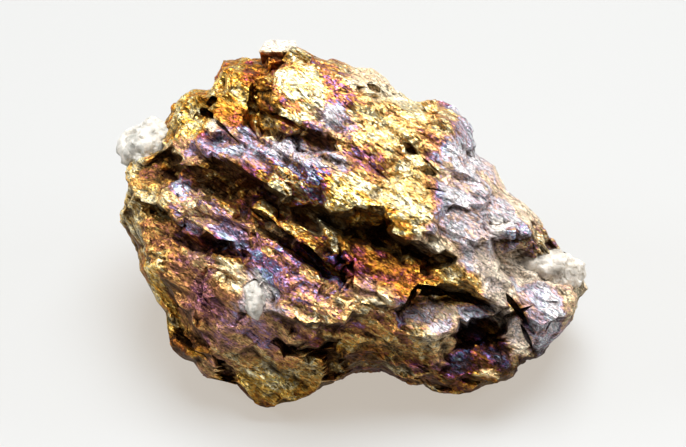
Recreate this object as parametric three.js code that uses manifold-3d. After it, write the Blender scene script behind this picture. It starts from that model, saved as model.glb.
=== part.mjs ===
// A hand specimen of massive chalcopyrite with three grains of milky quartz grown into it.
//
// The ore broke out of its vein along a set of parallel ledges that run down to the right across its best face, so
// that face is written as a patchwork of fracture planes: each plane has a place, a height, two slopes and a reach.
// Where two planes meet at different heights the ore has a ledge, a riser or a pit. The back is a plainer patchwork.
//
// Units are millimetres. The model is worked out in the frame of the best face (a to the right, b up along the face,
// c out of it) and then laid back by FACE_LEAN, so that the specimen rests on its underside, with +Z up.
import * as THREE from "three";
import { ConvexGeometry } from "three/addons/geometries/ConvexGeometry.js";
import { mergeVertices } from "three/addons/utils/BufferGeometryUtils.js";
import Module from "manifold-3d";

// ---- Driving dimensions -------------------------------------------------------------------------------------------

const FACE_LEAN = 50; // degrees that the best face's outward direction stands above the horizon
const FRONT_WALL = 21; // mm, how steeply the flank leaves the outline towards the best face
const BACK_DEPTH = 17; // mm, from the outline's plane to the deepest point of the back
const SEAT_HEIGHT = 15.2; // mm, from the flat seat on the underside up to the face frame's origin
const BACK_ROUGHNESS = 1.5; // how much rougher the back's chips are than the best face's
const STRIKE = -34; // degrees, the direction in which the ledges run across the face
const PLANE_EDGE = 26; // sharpness of the step between neighbouring fracture planes
const CHIPS_OUT = 0.45; // mm by which the chips stand out past the flank, so the flank is set in by as much
const SEAT_GAP = 0.3; // mm of clearance between a quartz grain and its pocket in the ore

// Fracture relief on top of the planes: lumps bounded by flat chips, stretched along the strike.
const CHIP_LAYERS = [
  { cell: 6.5, height: 0.9, stretch: 1.5, seed: 11 },
  { cell: 3.1, height: 0.5, stretch: 2.1, seed: 23 },
];

// Mesh fineness.
const START_DETAIL = 9; // subdivision of the icosahedron that the ore is shaped from
const TRIANGLE_BUDGET = 6500;
const SHORTEST_EDGE = 0.55; // mm
const CHORD_ERROR = 0.07; // mm

// The specimen's outline seen straight onto the best face, anticlockwise from the right-hand tip.
const OUTLINE = [
  [30.1, -8.2], [29.3, -6.5], [28.2, -4.9], [26.5, -3.3], [25.5, -1.7], [24.2, 0.3], [22.8, 1.7], [21.6, 3.2],
  [19.7, 4.5], [19.1, 5.9], [18.3, 7.4], [16.1, 8.6], [15.5, 9.9], [15.1, 11.8], [14.6, 13.1], [12.9, 14.6],
  [11.1, 15.5], [9.7, 15.5], [8.2, 15.9], [6.5, 16.5], [5.2, 17.8], [4.0, 18.9], [2.7, 19.6], [0.8, 19.7],
  [-1.2, 20.4], [-2.7, 21.1], [-4.6, 21.2], [-6.3, 22.1], [-7.4, 22.4], [-8.4, 23.4], [-10.1, 23.8], [-11.4, 23.4],
  [-11.8, 22.3], [-11.9, 20.7], [-13.3, 21.2], [-14.8, 21.2], [-16.8, 20.9], [-17.2, 19.9], [-17.4, 18.8],
  [-18.6, 17.4], [-20.1, 16.9], [-21.8, 17.0], [-22.7, 16.0], [-23.6, 14.8], [-24.1, 13.3], [-24.3, 11.4],
  [-25.2, 10.0], [-27.4, 8.8], [-29.4, 7.8], [-29.7, 6.9], [-29.2, 5.4], [-28.9, 4.1], [-29.7, 2.6], [-30.1, 0.8],
  [-29.4, -0.6], [-28.5, -2.3], [-27.9, -4.1], [-28.2, -5.4], [-27.6, -6.5], [-26.6, -8.1], [-25.6, -9.7],
  [-24.7, -10.5], [-24.6, -12.0], [-24.2, -13.6], [-23.6, -14.5], [-23.8, -15.1], [-23.3, -16.1], [-22.0, -17.3],
  [-21.0, -17.7], [-20.0, -18.7], [-19.3, -19.8], [-16.9, -20.1], [-14.8, -20.5], [-13.7, -21.5], [-12.8, -22.8],
  [-11.5, -23.6], [-10.1, -23.4], [-9.5, -22.7], [-7.2, -22.7], [-5.2, -21.8], [-4.1, -21.0], [-2.3, -20.6],
  [-1.3, -19.7], [-0.2, -19.4], [0.9, -18.8], [2.3, -19.2], [3.3, -18.7], [4.4, -19.3], [5.6, -20.2], [7.2, -20.7],
  [9.1, -20.4], [9.8, -21.3], [11.0, -21.8], [13.6, -22.0], [15.0, -21.9], [16.2, -21.2], [17.1, -20.5],
  [18.7, -20.5], [20.0, -20.1], [20.9, -19.6], [21.3, -18.0], [21.7, -17.4], [22.9, -17.5], [24.5, -16.5],
  [25.2, -15.5], [25.9, -14.6], [27.0, -13.6], [28.1, -12.5], [28.7, -11.3], [28.9, -10.0], [29.6, -8.9],
];

// Fracture planes of the best face: [a, b, height, slope to the right, slope upwards, reach along, reach across,
// turn in degrees]. A negative upward slope is a tread that looks up into the light; a positive one is a riser.
const FACE_PLANES = {
  topPlate: [-6.0, 17.0, 9.4, -0.05, -0.5, 5.2, 4.2, -25],
  topPlateFoot: [-4.6, 12.6, 11.0, -0.05, -0.42, 4.8, 2.2, -32],
  topRim: [2.8, 17.6, 7.2, -0.3, -0.75, 4.4, 2.0, -28],
  topPinch: [-0.4, 14.6, 9.9, -0.15, -0.5, 2.6, 3.4, -20],
  capBlock: [-10.2, 21.6, 6.4, 0.0, -0.35, 1.9, 1.2, 0],
  capBlockFront: [-10.2, 20.6, 5.8, 0.0, 1.5, 1.8, 0.8, 5],
  capBlockFoot: [-11.0, 18.6, 6.6, 0.2, -0.3, 1.8, 1.5, 20],
  leftHorn: [-15.2, 18.8, 6.4, 0.1, -0.65, 3.0, 2.0, 5],
  leftHornFace: [-15.2, 14.8, 8.6, 0.15, -0.25, 2.8, 3.4, -70],
  leftHornChip: [-13.8, 11.6, 9.8, 0.1, 0.1, 2.2, 1.8, -60],
  leftFlank: [-20.6, 14.4, 5.9, 0.45, -0.35, 2.8, 2.6, -60],
  leftFlankRim: [-23.4, 14.4, 3.3, 1.0, -0.2, 1.3, 2.6, 10],
  leftFlankPit: [-18.6, 14.6, 5.6, 0.5, 0.3, 0.9, 1.8, -30],
  cleft: [-13.0, 14.2, 6.6, 0.6, 0.1, 0.75, 3.8, -6],
  cleftWall: [-11.2, 14.6, 8.0, 0.85, 0.2, 1.3, 2.3, 12],
  cleftShelf: [-11.0, 17.4, 8.6, 0.1, -0.4, 1.6, 1.2, 30],
  troughLeft: [-16.8, 9.8, 9.7, 0.12, -0.42, 3.6, 1.8, -12],
  troughLeftRim: [-20.8, 9.6, 7.6, 0.35, -0.4, 3.2, 1.7, -8],
  troughMiddle: [-10.6, 9.6, 11.2, 0.0, -0.45, 4.4, 1.5, -10],
  troughMiddleStep: [-9.2, 7.6, 11.5, -0.05, -0.5, 4.4, 1.2, -28],
  troughHole: [-6.3, 10.1, 8.9, 0.1, 0.3, 1.4, 1.7, 0],
  troughNotch: [-3.8, 10.7, 9.4, 0.0, 0.6, 1.9, 1.1, -10],
  troughRight: [-1.4, 11.4, 11.2, -0.1, -0.45, 2.0, 2.2, -20],
  troughRightFoot: [-2.2, 8.0, 12.3, -0.05, -0.35, 3.4, 1.5, -14],
  lipLeft: [-13.6, 6.8, 12.3, 0.05, -0.42, 4.0, 1.3, -36],
  lipStep: [-9.4, 4.6, 13.1, 0.0, -0.42, 3.4, 1.2, -38],
  lipStar: [-5.4, 6.6, 12.8, 0.05, -0.38, 2.2, 1.6, -60],
  redWedge: [-7.2, 3.2, 12.2, 0.12, 0.4, 1.8, 2.2, -65],
  redWedgeRight: [-4.4, 3.8, 12.4, -0.1, 0.35, 1.5, 1.6, -30],
  goldFoot: [-2.2, 4.2, 13.8, -0.05, -0.35, 2.6, 2.0, -40],
  goldTop: [7.6, 13.2, 9.8, -0.18, -0.6, 4.6, 2.2, -24],
  goldPit: [11.6, 12.6, 8.7, 0.1, 0.1, 1.2, 0.7, -60],
  goldMiddle: [3.6, 10.0, 11.6, -0.04, -0.45, 4.4, 2.6, -28],
  goldRight: [8.8, 8.6, 11.5, -0.08, -0.5, 3.4, 3.2, -35],
  goldLedgeA: [5.2, 5.6, 13.0, -0.05, -0.42, 5.6, 1.5, -18],
  goldLedgeB: [7.6, 2.6, 13.9, -0.05, -0.42, 4.6, 1.3, -20],
  goldLip: [3.6, 2.4, 14.6, 0.0, -0.4, 4.2, 1.2, -14],
  goldLobe: [6.8, -0.2, 14.9, -0.05, -0.35, 2.4, 1.4, -32],
  goldEdge: [10.8, 3.6, 12.9, -0.25, -0.35, 1.4, 3.0, 10],
  gashA: [7.2, 9.0, 10.1, 0.1, 0.7, 1.7, 0.55, -32],
  gashB: [9.2, 6.8, 10.9, 0.1, 0.7, 1.7, 0.55, -34],
  underLip: [1.4, -0.8, 9.2, 0.0, 0.75, 4.8, 1.7, -22],
  underLipEnd: [7.4, -3.0, 9.4, 0.05, 0.7, 4.4, 1.6, -22],
  underLipLeft: [-4.6, 1.0, 9.6, 0.1, 0.6, 3.2, 1.1, -20],
  hollowUpper: [-17.8, 5.6, 8.0, 0.1, 0.65, 3.9, 1.6, -16],
  crackA: [-11.0, 3.0, 9.0, 0.1, 0.6, 5.2, 0.95, -38],
  gully: [-13.4, 3.0, 8.6, 0.3, 0.2, 0.8, 2.6, 0],
  ridgeLeft: [-16.4, 2.3, 11.0, 0.0, -0.3, 3.0, 0.9, -36],
  ridge: [-8.4, -0.4, 12.8, 0.0, -0.35, 5.6, 1.0, -36],
  ridgeRight: [-3.6, -2.4, 12.9, 0.0, -0.3, 3.2, 1.5, -34],
  crackB: [-8.6, -2.2, 9.6, 0.1, 0.6, 6.6, 0.65, -35],
  crackBEnd: [-2.0, -6.2, 9.8, 0.1, 0.6, 2.2, 0.7, -42],
  terraceRed: [3.8, -4.6, 12.4, -0.04, -0.18, 5.4, 1.8, -16],
  terraceFoot: [3.0, -8.6, 13.2, 0.0, -0.1, 4.4, 2.0, -12],
  terraceRim: [7.2, -7.6, 12.7, 0.05, -0.3, 2.4, 1.2, 38],
  flakes: [-20.2, 2.6, 9.8, 0.05, -0.35, 3.0, 1.5, -48],
  flakesRight: [-16.4, 0.8, 11.2, 0.0, -0.3, 2.6, 1.2, -30],
  lilac: [-16.8, -0.9, 12.0, 0.02, -0.42, 3.4, 1.2, -24],
  magentaTop: [-11.0, -3.0, 12.6, 0.05, -0.35, 3.8, 1.5, -32],
  magenta: [-9.0, -5.8, 13.2, 0.02, -0.3, 3.8, 1.4, -28],
  violet: [-5.4, -6.8, 12.9, 0.05, -0.05, 2.8, 1.6, -30],
  crust: [-4.4, -10.2, 13.9, 0.0, -0.28, 4.6, 1.8, -10],
  whiteFlakes: [-14.6, -5.6, 12.0, 0.1, -0.25, 3.2, 1.3, -30],
  hollowLower: [-18.6, -2.4, 8.5, 0.2, 0.6, 4.4, 1.15, -14],
  goldFlakes: [-18.4, -5.4, 10.6, 0.25, -0.05, 3.2, 1.0, -28],
  shoulder: [-24.6, -2.0, 7.6, 0.5, -0.05, 3.6, 2.2, -42],
  shoulderPit: [-25.6, 1.8, 5.0, 0.25, 0.6, 2.5, 0.95, -24],
  shoulderPitRim: [-23.0, 0.4, 7.6, 0.2, -0.2, 2.0, 0.7, -30],
  shoulderCrest: [-26.4, 4.8, 5.6, 0.42, -0.5, 3.0, 1.4, 14],
  shoulderHollow: [-23.6, 7.0, 4.6, 0.3, 0.4, 1.1, 1.7, 0],
  cheek: [-28.2, -0.8, 3.9, 1.1, 0.3, 1.5, 2.6, 20],
  cheekLow: [-25.4, -7.8, 4.2, 0.95, 0.75, 5.0, 1.3, -52],
  redPlane: [-20.6, -7.2, 9.0, 0.42, 0.32, 4.0, 2.2, -46],
  redPlaneEdge: [-18.2, -6.9, 9.6, 0.1, 0.9, 0.7, 1.3, -10],
  redPlaneLow: [-16.6, -10.8, 10.2, 0.34, 0.5, 3.0, 2.4, -42],
  spotShelf: [-12.6, -9.2, 12.5, 0.15, 0.1, 2.0, 2.4, 0],
  belly: [-14.4, -15.4, 8.2, 0.22, 0.8, 4.6, 2.6, -20],
  bellyGold: [-9.6, -13.2, 10.6, 0.1, 0.6, 3.4, 1.6, 0],
  slit: [-7.6, -15.8, 7.2, 0.0, 0.5, 3.0, 0.5, -16],
  slitLip: [-7.0, -17.2, 7.4, 0.0, 0.85, 3.6, 1.1, -10],
  bottomTip: [-9.8, -20.2, 4.6, 0.05, 0.75, 4.0, 1.8, 8],
  lowerLeftHollow: [-21.0, -15.2, 4.6, 0.5, 0.3, 2.0, 1.2, -30],
  lowerLeftRim: [-19.2, -18.2, 2.9, 0.3, 0.9, 2.6, 1.0, -28],
  lowerLeftCorner: [-22.4, -12.2, 3.6, 0.9, 0.4, 1.3, 2.0, 10],
  crustFoot: [-5.6, -13.6, 11.4, 0.0, 0.55, 3.6, 1.1, 0],
  notchWall: [-2.6, -17.4, 4.9, 0.1, 0.5, 1.0, 2.0, 12],
  brown: [2.4, -12.2, 11.7, -0.02, 0.5, 3.4, 2.4, -10],
  brownLow: [5.0, -16.0, 8.6, -0.06, 0.9, 5.6, 1.7, -8],
  brownFoot: [7.6, -19.2, 5.0, -0.02, 1.2, 3.6, 1.2, -6],
  crescent: [11.0, -8.3, 8.4, 0.0, 0.7, 4.2, 0.6, -14],
  crescentLeft: [6.7, -9.7, 9.2, 0.2, 0.4, 0.6, 1.3, -18],
  crescentTail: [17.2, -10.4, 7.4, 0.0, 0.7, 1.8, 0.6, -30],
  crescentRim: [14.6, -7.6, 10.8, -0.1, -0.3, 3.4, 1.1, -30],
  slab: [9.4, -11.8, 9.7, 0.0, -0.4, 4.8, 2.1, -6],
  slabTail: [15.0, -11.3, 9.2, 0.0, -0.35, 2.6, 0.8, 4],
  slabWall: [11.8, -15.0, 7.4, -0.55, 1.0, 1.4, 2.0, -30],
  cave: [15.9, -13.9, 3.4, 0.15, 0.35, 2.9, 1.4, 0],
  caveFloor: [15.8, -16.4, 5.9, 0.0, -0.15, 3.8, 1.1, 2],
  caveSill: [13.6, -20.0, 5.0, 0.0, 1.2, 4.4, 0.9, -4],
  pastelTop: [13.8, 5.6, 11.2, -0.42, -0.32, 2.4, 4.4, 12],
  pastelRim: [14.9, 10.8, 8.0, -1.1, -0.2, 0.8, 2.4, 10],
  pastelBlock: [16.8, 6.4, 8.4, -0.5, -0.7, 1.9, 1.9, -30],
  pastelLow: [13.4, 0.4, 12.0, -0.3, -0.3, 3.4, 1.9, -20],
  pastelRight: [19.0, 1.4, 8.9, -0.38, -0.5, 3.0, 2.0, -38],
  pinkPlate: [17.8, -0.9, 9.6, -0.25, -0.45, 2.2, 1.0, 5],
  brightSpall: [10.2, -2.9, 12.8, -0.1, -0.4, 2.4, 1.1, -20],
  pillarTop: [14.6, -4.6, 11.6, -0.25, -0.1, 2.2, 1.8, -30],
  pillar: [18.2, -8.4, 9.8, -0.45, 0.0, 1.3, 3.6, 24],
  pillarFoot: [20.0, -15.4, 6.2, -0.8, 0.3, 1.3, 2.8, 4],
  duskFace: [21.0, -3.0, 6.9, -0.25, 0.45, 3.0, 1.2, 0],
  duskRim: [24.4, -2.0, 4.2, -0.95, -0.35, 1.8, 2.2, 35],
  tipSaddle: [23.8, -5.8, 5.0, -0.25, -0.25, 4.2, 1.3, -6],
  blueFace: [24.4, -9.8, 6.8, -0.25, -0.32, 4.2, 2.6, -8],
  tipEnd: [28.6, -8.4, 3.0, -1.1, -0.1, 1.2, 2.2, 0],
  gashRight: [21.0, -12.2, 5.4, 0.1, 0.3, 2.6, 0.4, -50],
  tipSill: [25.0, -13.4, 4.0, -0.5, 0.9, 3.2, 1.1, 32],
};

// Plainer fracture planes of the back and underside, in the same form; their height is the depth behind the outline.
const BACK_PLANES = {
  backCentre: [-2, 2, 15.5, 0.05, 0.1, 9, 7, -30],
  backUpper: [-8, 13, 11.5, 0.1, -0.5, 8, 5, -10],
  backUpperRight: [8, 10, 12.5, -0.1, -0.45, 7, 5, -30],
  backRight: [18, 0, 10.5, -0.45, -0.1, 6, 6, -40],
  backTip: [24, -9, 6.5, -0.6, 0.1, 5, 4, -20],
  backLeft: [-19, 6, 11.0, 0.4, -0.2, 6, 6, 30],
  backShoulder: [-25, -3, 6.5, 0.7, 0.1, 4, 6, 10],
  underLeft: [-14, -10, 11.5, 0.2, 0.35, 7, 6, -20],
  underMiddle: [0, -9, 14.5, 0.0, 0.3, 8, 6, 10],
  underRight: [12, -12, 11.0, -0.2, 0.4, 7, 5, -10],
  underTip: [-10, -18, 7.0, 0.1, 0.7, 6, 4, 10],
  underSill: [11, -18, 6.5, -0.1, 0.7, 7, 3, 0],
};

// Sharp-cornered blocks that stand out of the best face, and gashes and pits broken into it: [a, b, c, half sizes along,
// across and out of the face, turn in degrees, and for some how far the front looks down, in degrees].
const BLOCKS = {
  topBlock: [-9.6, 21.7, 4.4, 2.2, 1.0, 1.5, -2, 35],
  topBlockStep: [-7.2, 20.8, 5.6, 1.6, 1.2, 1.5, -24],
  darkPeak: [9.8, 14.7, 7.0, 0.9, 0.9, 1.5, 20],
  pebble: [-17.4, 11.7, 9.0, 0.95, 0.75, 1.0, 8, 35],
  spall: [18.2, -0.9, 9.9, 2.1, 0.7, 1.0, 3, 32],
  rustStep: [-17.4, -7.6, 10.0, 1.3, 1.7, 1.2, -12],
  sillFlake: [17.2, -19.0, 5.6, 1.0, 0.4, 0.9, -24, 30],
};
const GASHES = {
  troughHole: [-4.7, 10.2, 12.0, 2.1, 1.4, 2.6, -18],
  troughNotch: [-1.8, 10.2, 12.8, 0.8, 0.6, 2.0, -10],
  bigHollow: [-18.2, 5.9, 11.6, 3.9, 1.4, 3.2, -19],
  hollowEnd: [-13.4, 4.0, 12.6, 1.9, 0.9, 3.0, -40],
  shoulderGap: [-23.8, 7.4, 8.0, 0.9, 1.9, 2.8, 8],
  hornNotch: [-17.9, 15.5, 6.6, 0.75, 0.6, 2.6, 30],
  hornCrack: [-16.2, 11.9, 9.6, 1.9, 0.3, 2.2, -44],
  hornCleft: [-12.9, 15.8, 9.4, 0.35, 2.5, 3.0, -3],
  goldGashHigh: [7.0, 8.8, 13.4, 1.7, 0.28, 2.2, -30, 35],
  goldGashLow: [9.0, 6.5, 13.4, 1.4, 0.28, 2.2, -36, 35],
  goldCut: [9.9, 4.3, 13.8, 1.1, 0.25, 1.6, -12],
  goldCutLeft: [2.6, 6.4, 14.4, 1.7, 0.25, 1.4, -14],
  goldHole: [11.5, 12.5, 10.0, 0.85, 0.35, 2.2, -62, 40],
  goldCrease: [4.6, 12.2, 12.4, 2.0, 0.2, 1.8, -30, 35],
  goldAmber: [2.6, 17.0, 9.0, 0.8, 0.5, 1.6, -30],
  lowerHollow: [-17.9, -2.7, 12.4, 4.2, 0.95, 3.0, -18],
  shoulderPit: [-25.2, 1.7, 8.4, 2.4, 0.8, 2.6, -25],
  bellySlit: [-7.9, -15.7, 10.8, 2.9, 0.28, 2.6, -18],
  bellyHollow: [-20.9, -15.1, 4.4, 2.3, 0.7, 2.4, -22, 25],
  rustCut: [-18.6, -6.2, 11.4, 0.4, 0.9, 1.8, -12],
  rightGash: [20.4, -10.6, 7.6, 2.4, 0.45, 2.4, -52],
  blueCrack: [24.9, -10.6, 8.0, 0.9, 0.2, 1.8, -22, 30],
  sillSlitLeft: [10.5, -19.3, 7.2, 1.1, 0.35, 1.8, -16],
  sillSlitRight: [15.0, -20.0, 6.4, 1.2, 0.35, 1.8, -12],
  terraceCut: [3.0, -10.6, 14.2, 1.8, 0.3, 1.8, -20],
  hornWedge: [-18.5, 13.9, 6.2, 1.1, 0.55, 2.6, -32],
  plateCrack: [-9.6, 13.4, 10.8, 2.9, 0.35, 2.6, -27],
  crackBUpper: [-10.1, -0.1, 12.4, 3.9, 0.4, 3.0, -36],
  crackBLower: [-4.3, -4.5, 12.4, 3.3, 0.45, 3.2, -39],
  crescentRise: [6.9, -9.3, 11.4, 1.5, 0.55, 3.0, 62],
  crescentCrown: [9.4, -8.4, 10.8, 2.5, 0.75, 3.0, -8],
  crescentFall: [14.3, -9.4, 9.6, 3.3, 0.6, 3.0, -18],
  rightGashFoot: [21.8, -14.2, 6.0, 1.3, 0.35, 2.0, -62],
};

// Quartz grains: centre in the face frame, half sizes, turn in degrees, and how many corners each has.
const QUARTZ = {
  quartz_lump: { centre: [-26.2, 9.7, 0.6], half: [3.7, 3.6, 3.6], turn: 0, corners: 34, seed: 5 },
  quartz_saddle: { centre: [24.3, -5.6, 2.9], half: [5.3, 2.2, 2.5], turn: -11, corners: 60, seed: 8 },
  quartz_grain: { centre: [-12.5, -9.4, 11.4], half: [1.2, 2.3, 1.6], turn: 8, corners: 44, seed: 3 },
};

// ---- Small mathematics ----------------------------------------------------------------------------------------------

const radians = THREE.MathUtils.degToRad;

// A repeatable number from 0 to 1 for a cell of a lattice.
function hash(x, y, z, seed) {
  let h = Math.imul(x, 374761393) + Math.imul(y, 668265263) + Math.imul(z, 2147483647) + Math.imul(seed, 974634777);
  h = Math.imul(h ^ (h >>> 13), 1274126177);
  h = Math.imul(h ^ (h >>> 16), 2246822519);
  return ((h ^ (h >>> 15)) >>> 0) / 4294967296;
}

// Chipped relief from -1 to 1: each cell of a jittered lattice is one flat chip with its own height and lean.
function chips(a, b, c, { cell, stretch, seed }) {
  const turn = radians(STRIKE);
  const x = (a * Math.cos(turn) + b * Math.sin(turn)) / (cell * stretch);
  const y = (b * Math.cos(turn) - a * Math.sin(turn)) / cell;
  const z = c / cell;
  const [ix, iy, iz] = [Math.floor(x), Math.floor(y), Math.floor(z)];
  let sum = 0;
  let weights = 0;
  for (let i = ix - 1; i <= ix + 1; i++)
    for (let j = iy - 1; j <= iy + 1; j++)
      for (let k = iz - 1; k <= iz + 1; k++) {
        const dx = x - i - hash(i, j, k, seed);
        const dy = y - j - hash(i, j, k, seed + 1);
        const dz = z - k - hash(i, j, k, seed + 2);
        const weight = Math.exp(-26 * (dx * dx + dy * dy + dz * dz));
        const lift = 1.2 * hash(i, j, k, seed + 3) - 0.6;
        const leanX = 1.8 * hash(i, j, k, seed + 4) - 0.9;
        const leanY = 2.6 * hash(i, j, k, seed + 5) - 1.3;
        const leanZ = 2 * hash(i, j, k, seed + 6) - 1;
        sum += weight * (lift + leanX * dx + leanY * dy + leanZ * dz);
        weights += weight;
      }
  return sum / Math.max(weights, 1e-12);
}

// ---- The ore's surface ------------------------------------------------------------------------------------------------

// Distance from the face frame's origin to the flank in a direction.
function outlineReach(angle) {
  const ux = Math.cos(angle);
  const uy = Math.sin(angle);
  for (let i = 0; i < OUTLINE.length; i++) {
    const [px, py] = OUTLINE[i];
    const [qx, qy] = OUTLINE[(i + 1) % OUTLINE.length];
    const before = px * uy - py * ux;
    const after = qx * uy - qy * ux;
    if (before >= 0 && after < 0) {
      const t = before / (before - after);
      const reach = (px + t * (qx - px)) * ux + (py + t * (qy - py)) * uy;
      if (reach > 0) return reach - CHIPS_OUT;
    }
  }
  throw new Error("the outline doesn't go once around the origin");
}

// Height of a patchwork of planes at a point: the nearest plane's height, with a short ramp between neighbours.
function patchwork(planes, a, b) {
  const parts = [];
  let nearest = Infinity;
  for (const [pa, pb, height, slopeA, slopeB, along, across, turnDegrees] of planes) {
    const turn = radians(turnDegrees);
    const da = a - pa;
    const db = b - pb;
    const x = (da * Math.cos(turn) + db * Math.sin(turn)) / along;
    const y = (db * Math.cos(turn) - da * Math.sin(turn)) / across;
    const distance = Math.hypot(x, y);
    nearest = Math.min(nearest, distance);
    parts.push([distance, height + slopeA * da + slopeB * db]);
  }
  let sum = 0;
  let weights = 0;
  for (const [distance, height] of parts) {
    const weight = Math.exp(-PLANE_EDGE * (distance - nearest));
    sum += weight * height;
    weights += weight;
  }
  return sum / weights;
}

const facePlanes = Object.values(FACE_PLANES);
const backPlanes = Object.values(BACK_PLANES);

// The point of the ore's surface that belongs to a direction of the unit sphere.
function surfacePoint(direction) {
  const { x, y, z } = direction;
  const reach = outlineReach(Math.atan2(y, x));
  const a = x * reach;
  const b = y * reach;
  const flank = Math.abs(z);
  const front = z >= 0;
  const wander = 0.7 * chips(a, b, 40, { cell: 2.6, stretch: 1.6, seed: 71 });
  const planesHeight = front
    ? patchwork(facePlanes, a + wander, b + wander)
    : patchwork(backPlanes, a, b);
  const wall = (front ? FRONT_WALL : BACK_DEPTH * 1.25) * flank;
  const c = (front ? 1 : -1) * Math.min(planesHeight, wall);
  const point = new THREE.Vector3(a, b, c);
  let lift = 0;
  for (const layer of CHIP_LAYERS) lift += layer.height * chips(a, b, c, layer);
  const outward = point.clone().normalize().lerp(new THREE.Vector3(0, 0, Math.sign(z)), 0.6);
  return point.addScaledVector(outward, lift * (front ? 1 : BACK_ROUGHNESS));
}

// ---- Meshing: an icosahedron split wherever its edges cut across the surface --------------------------------------

function shapedIcosahedron() {
  const ball = new THREE.IcosahedronGeometry(1, START_DETAIL);
  ball.deleteAttribute("normal");
  ball.deleteAttribute("uv");
  const merged = mergeVertices(ball, 1e-5);
  const directions = [];
  const place = merged.getAttribute("position");
  for (let i = 0; i < place.count; i++) directions.push(new THREE.Vector3().fromBufferAttribute(place, i).normalize());
  const points = directions.map(surfacePoint);
  const index = merged.getIndex().array;
  let triangles = [];
  for (let i = 0; i < index.length; i += 3) triangles.push([index[i], index[i + 1], index[i + 2]]);
  while (triangles.length < TRIANGLE_BUDGET) {
    const room = Math.floor((TRIANGLE_BUDGET - triangles.length) / 2);
    const middles = worstEdges(triangles, directions, points, room);
    if (!middles.size) break;
    triangles = triangles.flatMap((triangle) => splitTriangle(triangle, middles, points));
  }
  return { points, triangles };
}

const edgeKey = (i, j) => (i < j ? `${i}_${j}` : `${j}_${i}`);

// The edges that stray furthest from the surface, each with its new middle vertex.
function worstEdges(triangles, directions, points, room) {
  const seen = new Map();
  for (const [i, j, k] of triangles)
    for (const [p, q] of [[i, j], [j, k], [k, i]]) {
      const key = edgeKey(p, q);
      if (seen.has(key)) continue;
      const length = points[p].distanceTo(points[q]);
      if (length < SHORTEST_EDGE) {
        seen.set(key, null);
        continue;
      }
      const direction = directions[p].clone().add(directions[q]).normalize();
      const point = surfacePoint(direction);
      const chord = points[p].clone().add(points[q]).multiplyScalar(0.5);
      const error = point.distanceTo(chord) * (direction.z > -0.1 ? 1 : 0.45);
      seen.set(key, { key, direction, point, error });
    }
  const wanted = [...seen.values()].filter((edge) => edge && edge.error > CHORD_ERROR);
  wanted.sort((p, q) => q.error - p.error);
  const middles = new Map();
  const share = Math.ceil(wanted.length * 0.4);
  for (const edge of wanted.slice(0, Math.min(room, Math.max(share, 50)))) {
    middles.set(edge.key, points.length);
    directions.push(edge.direction);
    points.push(edge.point);
  }
  return middles;
}

// A triangle with middle vertices on some of its edges, as the triangles that replace it.
function splitTriangle([i, j, k], middles, points) {
  const m = [middles.get(edgeKey(i, j)), middles.get(edgeKey(j, k)), middles.get(edgeKey(k, i))];
  const count = m.filter((v) => v !== undefined).length;
  if (count === 0) return [[i, j, k]];
  if (count === 3) return [[i, m[0], m[2]], [m[0], j, m[1]], [m[2], m[1], k], [m[0], m[1], m[2]]];
  // Turn the triangle until its first edge is split and, with two splits, its last edge isn't.
  let corners = [i, j, k];
  while (m[0] === undefined || (count === 2 && m[2] !== undefined)) {
    m.push(m.shift());
    corners = [corners[1], corners[2], corners[0]];
  }
  const [p, q, r] = corners;
  if (count === 1) return [[p, m[0], r], [m[0], q, r]];
  const short = points[p].distanceTo(points[m[1]]) < points[m[0]].distanceTo(points[r]);
  const rest = short ? [[p, m[0], m[1]], [p, m[1], r]] : [[p, m[0], r], [m[0], m[1], r]];
  return [[m[0], q, m[1]], ...rest];
}

function geometryOf({ points, triangles }) {
  const geometry = new THREE.BufferGeometry().setFromPoints(points);
  geometry.setIndex(triangles.flat());
  return geometry;
}

// ---- Quartz -------------------------------------------------------------------------------------------------------------

const FACE_NORMAL = new THREE.Vector3(0, 0, 1);

// A blunt many-cornered grain: points spread evenly over an ellipsoid and jittered, inside their convex hull.
function grainGeometry({ centre, half, turn, corners, seed }, extra) {
  const golden = Math.PI * (3 - Math.sqrt(5));
  const points = [];
  for (let i = 0; i < corners; i++) {
    const z = 1 - (2 * i + 1) / corners;
    const ring = Math.sqrt(1 - z * z);
    const around = i * golden + 0.9 * hash(i, 1, 0, seed);
    const bulge = 0.86 + 0.24 * hash(i, 2, 0, seed);
    const corner = new THREE.Vector3(
      (half[0] + extra) * ring * Math.cos(around),
      (half[1] + extra) * ring * Math.sin(around),
      (half[2] + extra) * z,
    );
    corner.multiplyScalar(bulge).applyAxisAngle(FACE_NORMAL, radians(turn));
    points.push(corner.add(new THREE.Vector3(...centre)));
  }
  const geometry = new ConvexGeometry(points);
  geometry.deleteAttribute("normal");
  return geometry;
}

// Cross-sections, as corners in shares of the half sizes along and across: a gash tapers to both ends.
const SQUARE = [[-1, -1], [1, -1], [-1, 1], [1, 1]];
const TAPERED = [[-1.3, 0.1], [-0.6, -0.85], [0.5, -0.9], [1.3, -0.1], [0.6, 0.85], [-0.5, 0.9]];

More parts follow.
